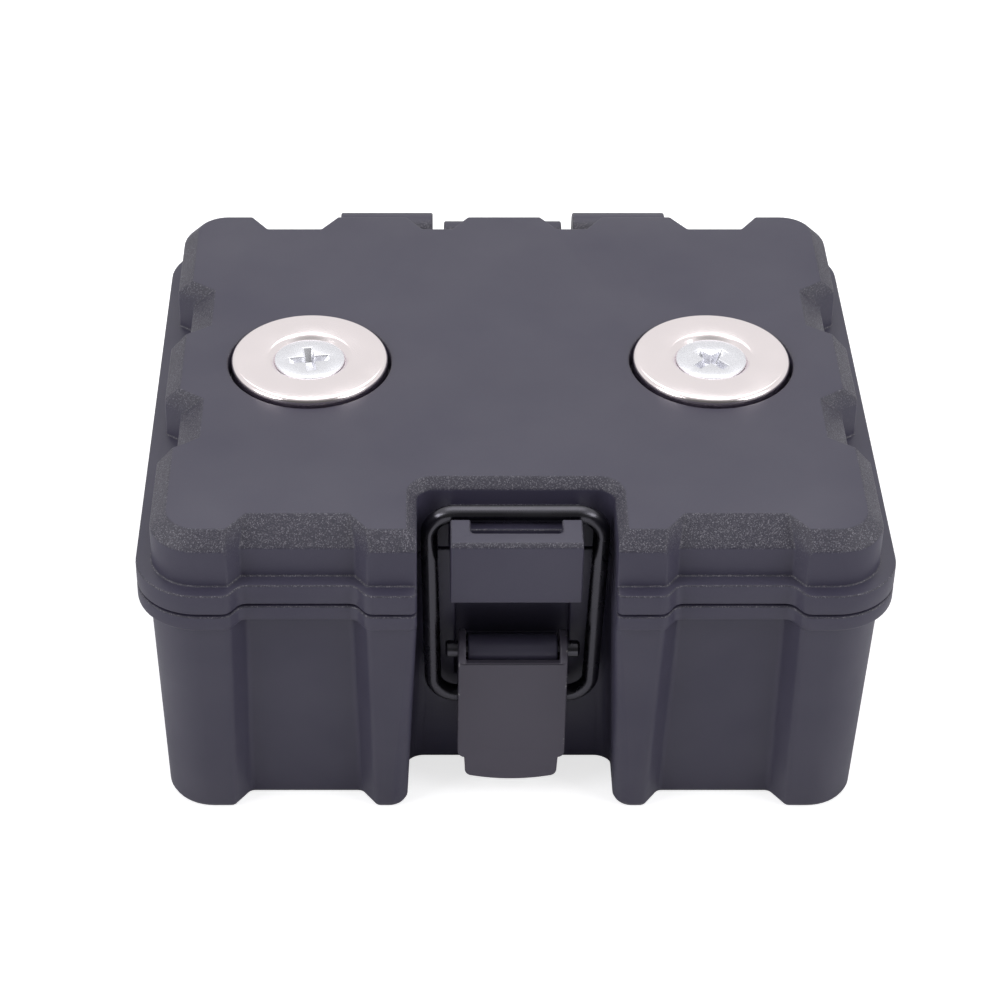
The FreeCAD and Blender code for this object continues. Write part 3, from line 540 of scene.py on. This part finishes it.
class KEYBOX_OT_magnets(bpy.types.Operator):
    """Turn the two ring magnets and round the edges of their screws"""
    bl_idname = "keybox.magnets"
    bl_label = "Magnets and screws"

    def execute(self, context):
        settings = context.scene.keybox_magnets
        nickel = bpy.data.materials["nickel_plate"]
        rim, lip = settings.rim_radius, settings.sink_lip
        for side in ("left", "right"):
            low, high = (Vector(corner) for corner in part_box("magnet_" + side))
            middle, outer = (low + high) / 2, (high.x - low.x) / 2
            bottom, top = low.z, high.z
            cone_foot = top - (settings.sink_radius - settings.hole_radius)
            rings = [(settings.hole_radius, bottom)]
            rings += rounded(outer - rim, bottom + rim, rim, -90)
            rings += rounded(outer - rim, top - rim, rim, 0)
            # The countersink's mouth turns over in three short facets
            rings += [(settings.sink_radius + lip, top), (settings.sink_radius + lip / 3, top - lip / 8),
                      (settings.sink_radius - lip / 3, top - lip / 2),
                      (settings.sink_radius - lip, top - lip), (settings.hole_radius, cone_foot)]
            piece = turned_piece("magnet_ring_" + side, middle.x, middle.y, rings, RING_SIDES)
            finish_piece(piece, "lid", nickel, "magnet_" + side)
            screw = softened("magnet_screw_" + side, "countersunk_screw_" + side, settings.screw_edge)
            finish_piece(screw, "lid", bpy.data.materials["zinc_screw_plate"],
                         "magnet_screw_" + side)
        return {"FINISHED"}


class KEYBOX_OT_lever(bpy.types.Operator):
    """Round the edges of the folded lever and coat it"""
    bl_idname = "keybox.lever"
    bl_label = "Latch lever"

    def execute(self, context):
        settings = context.scene.keybox_latch
        piece = softened("latch_lever", "folded_lever", settings.lever_edge, collapse=0.1 * MM)
        finish_piece(piece, "lever", bpy.data.materials["black_e_coat"],
                     "latch_lever")
        return {"FINISHED"}


class KEYBOX_OT_bail(bpy.types.Operator):
    """Bend the wire bail round its four corners"""
    bl_idname = "keybox.bail"
    bl_label = "Wire bail"

    def execute(self, context):
        settings = context.scene.keybox_latch
        foot, crown, bend = Vector(settings.foot), Vector(settings.crown), settings.bend_radius
        length = math.hypot(crown.y - foot.y, crown.z - foot.z)
        lean = math.atan2(crown.z - foot.z, crown.y - foot.y)
        start = settings.end_gap / 2
        # The loop is bent flat, from one end round to the other, and then leaned into place
        corners = [Vector((start, 0, 0)), Vector((foot.x, 0, 0)), Vector((crown.x, length, 0)),
                   Vector((-crown.x, length, 0)), Vector((-foot.x, 0, 0)), Vector((-start, 0, 0))]
        bpy.ops.object.select_all(action="DESELECT")
        bpy.ops.mesh.primitive_circle_add(
            vertices=settings.wire_sides, radius=settings.wire_radius, location=corners[0],
            rotation=(0, math.radians(90), 0))
        piece = context.active_object
        piece.name = "bent_bail"
        bpy.ops.object.mode_set(mode="EDIT")
        bpy.ops.mesh.select_all(action="SELECT")
        bpy.ops.mesh.edge_face_add()
        here = corners[0]
        for before, corner, after in zip(corners, corners[1:], corners[2:]):
            come, go = (corner - before).normalized(), (after - corner).normalized()
            turn = come.angle(go)
            reach = bend * math.tan(turn / 2)
            bpy.ops.mesh.extrude_region_move(
                TRANSFORM_OT_translate={"value": corner - come * reach - here})
            inwards = Vector((-come.y, come.x, 0))
            bpy.ops.mesh.spin(steps=settings.bend_steps, angle=-turn, axis=(0, 0, 1),
                              center=corner - come * reach + inwards * bend)
            here = corner + go * reach
        bpy.ops.mesh.extrude_region_move(TRANSFORM_OT_translate={"value": corners[-1] - here})
        bpy.ops.mesh.select_all(action="SELECT")
        bpy.ops.mesh.remove_doubles(threshold=MADE_MERGE)
        bpy.ops.mesh.fill_holes(sides=0)
        bpy.ops.mesh.normals_make_consistent(inside=False)
        bpy.ops.object.mode_set(mode="OBJECT")
        bpy.ops.object.transform_apply(location=True, rotation=True, scale=True)
        piece.rotation_euler = (lean, 0, 0)
        piece.location = (0, foot.y, foot.z)
        bpy.ops.object.transform_apply(location=True, rotation=True, scale=True)
        bpy.ops.object.shade_smooth_by_angle(angle=SMOOTH_ANGLE)
        finish_piece(piece, "bail", bpy.data.materials["blackened_wire"],
                     "latch_bail")
        return {"FINISHED"}


class KEYBOX_OT_stage(bpy.types.Operator):
    """Set the floor, the lamps and the camera"""
    bl_idname = "keybox.stage"
    bl_label = "Studio"

    def execute(self, context):
        settings = context.scene.keybox_stage
        bpy.ops.object.select_all(action="DESELECT")
        bpy.ops.mesh.primitive_plane_add(size=FLOOR_SIZE, location=(0, 0, 0))
        floor = context.active_object
        floor.name = "floor"
        material, tree, output = new_material("studio_paper")
        seen = add_node(tree, "ShaderNodeLightPath")
        lift = add_node(tree, "ShaderNodeMath", {"operation": "MULTIPLY"}, {
            0: seen.outputs["Is Camera Ray"], 1: settings.paper_lift})
        paper = add_node(tree, "ShaderNodeBsdfDiffuse", None, {
            "Color": colour(settings.paper_colour)})
        glow = add_node(tree, "ShaderNodeEmission", None, {"Strength": lift.outputs["Value"]})
        both = add_node(tree, "ShaderNodeAddShader", None, {
            0: paper.outputs["BSDF"], 1: glow.outputs["Emission"]})
        tree.links.new(both.outputs["Shader"], output.inputs["Surface"])
        dress(floor, material)

        world = bpy.data.worlds.new("studio_air")
        world.use_nodes = True
        context.scene.world = world
        tree = world.node_tree
        tree.nodes.clear()
        output = add_node(tree, "ShaderNodeOutputWorld")
        rays = add_node(tree, "ShaderNodeLightPath")
        # Shiny faces mirror a white room that is dim on the side where the box is looked at
        way = add_node(tree, "ShaderNodeSeparateXYZ", None, {
            "Vector": add_node(tree, "ShaderNodeTexCoord").outputs["Generated"]})
        room = add_node(tree, "ShaderNodeMapRange", None, {
            "Value": way.outputs["Y"], "From Min": -0.75, "From Max": -0.1, "To Min": 0.12,
            "To Max": 0.85})
        mirrored = add_node(tree, "ShaderNodeMix", None, {
            "Factor": rays.outputs["Is Glossy Ray"], "A": settings.air, "B": room.outputs["Result"]})
        strength = add_node(tree, "ShaderNodeMath", {"operation": "MAXIMUM"}, {
            0: rays.outputs["Is Camera Ray"], 1: mirrored.outputs["Result"]})
        air = add_node(tree, "ShaderNodeBackground", None, {
            "Color": (1, 1, 1, 1), "Strength": strength.outputs["Value"]})
        tree.links.new(air.outputs["Background"], output.inputs["Surface"])

        # Each soft box: its place, the point it aims at, its width and its power
        lamps = (
            ("soft_box_top", (0.0, 0.18, 0.55), (0.0, 0.0, 0.03), 0.5, settings.top_power),
            ("soft_box_left", (-0.5, -0.25, 0.35), (0.0, 0.0, 0.02), 0.35, settings.side_power),
            ("soft_box_right", (0.5, -0.25, 0.35), (0.0, 0.0, 0.02), 0.35, settings.side_power),
        )
        for name, place, aim, size, power in lamps:
            bpy.ops.object.light_add(type="AREA", location=place)
            lamp = context.active_object
            lamp.name = name
            lamp.data.shape = "SQUARE"
            lamp.data.size = size
            lamp.data.energy = power
            towards = Vector(aim) - Vector(place)
            lamp.rotation_euler = towards.to_track_quat("-Z", "Y").to_euler()

        bpy.ops.object.camera_add(location=settings.camera_place,
                                  rotation=(settings.camera_tilt, 0.0, 0.0))
        camera = context.active_object
        camera.name = "photo_camera"
        camera.data.lens = settings.lens
        camera.data.sensor_width = SENSOR_WIDTH
        camera.data.shift_x = settings.shift
        context.scene.camera = camera
        context.scene.view_settings.view_transform = "Standard"
        return {"FINISHED"}


class KEYBOX_PT_panel(bpy.types.Panel):
    """The key holder box's pieces and settings"""
    bl_idname = "KEYBOX_PT_panel"
    bl_label = "Key Holder Box"
    bl_space_type = "VIEW_3D"
    bl_region_type = "UI"
    bl_category = "Key Box"

    def draw(self, context):
        for group, kind in GROUPS:
            settings = getattr(context.scene, group)
            box = self.layout.box()
            for name in kind.__annotations__:
                box.prop(settings, name)
        for operator in OPERATORS:
            self.layout.operator(operator.bl_idname)


OPERATORS = (KEYBOX_OT_finishes, KEYBOX_OT_base, KEYBOX_OT_lid, KEYBOX_OT_magnets, KEYBOX_OT_lever,
             KEYBOX_OT_bail, KEYBOX_OT_stage)
GROUPS = (
    ("keybox_shell", ShellSettings),
    ("keybox_magnets", MagnetSettings),
    ("keybox_latch", LatchSettings),
    ("keybox_stage", StageSettings),
)


def register():
    for name, group in GROUPS:
        bpy.utils.register_class(group)
        setattr(bpy.types.Scene, name, PointerProperty(type=group))
    for operator in OPERATORS:
        bpy.utils.register_class(operator)
    bpy.utils.register_class(KEYBOX_PT_panel)


def unregister():
    bpy.utils.unregister_class(KEYBOX_PT_panel)
    for operator in reversed(OPERATORS):
        bpy.utils.unregister_class(operator)
    for name, group in reversed(GROUPS):
        delattr(bpy.types.Scene, name)
        bpy.utils.unregister_class(group)


def main():
    """Make every piece in turn."""
    register()
    bpy.ops.keybox.finishes()
    bpy.ops.keybox.base()
    bpy.ops.keybox.lid()
    bpy.ops.keybox.magnets()
    bpy.ops.keybox.lever()
    bpy.ops.keybox.bail()
    bpy.ops.keybox.stage()


if __name__ == "__main__":
    main()
